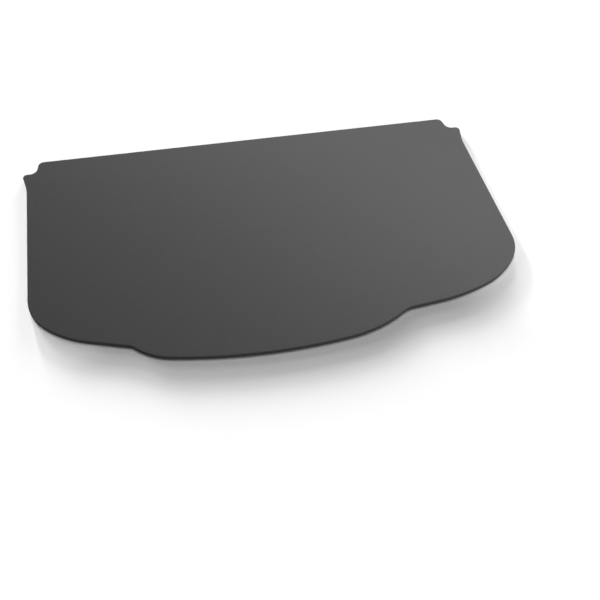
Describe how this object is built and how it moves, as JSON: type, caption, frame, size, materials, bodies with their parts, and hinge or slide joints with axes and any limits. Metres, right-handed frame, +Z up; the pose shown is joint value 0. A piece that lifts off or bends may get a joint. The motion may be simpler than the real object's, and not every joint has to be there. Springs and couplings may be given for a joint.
{
  "type": "trunk mat",
  "caption": "Flat velour trunk mat with a straight back edge, notched ears, rounded front corners and an off-centre front bulge.",
  "frame": {"origin": "middle of the mat's bounding box, on its underside", "axes": "+X across the width, +Y towards the straight back edge at the rear seats, +Z up out of the pile"},
  "size_m": [0.9998, 0.5916, 0.009],
  "materials": {
    "velour": "dark grey short-pile velour on a darker firm backing, matt"
  },
  "bodies": {
    "root": {"mat": "velour"}
  },
  "joints": []
}
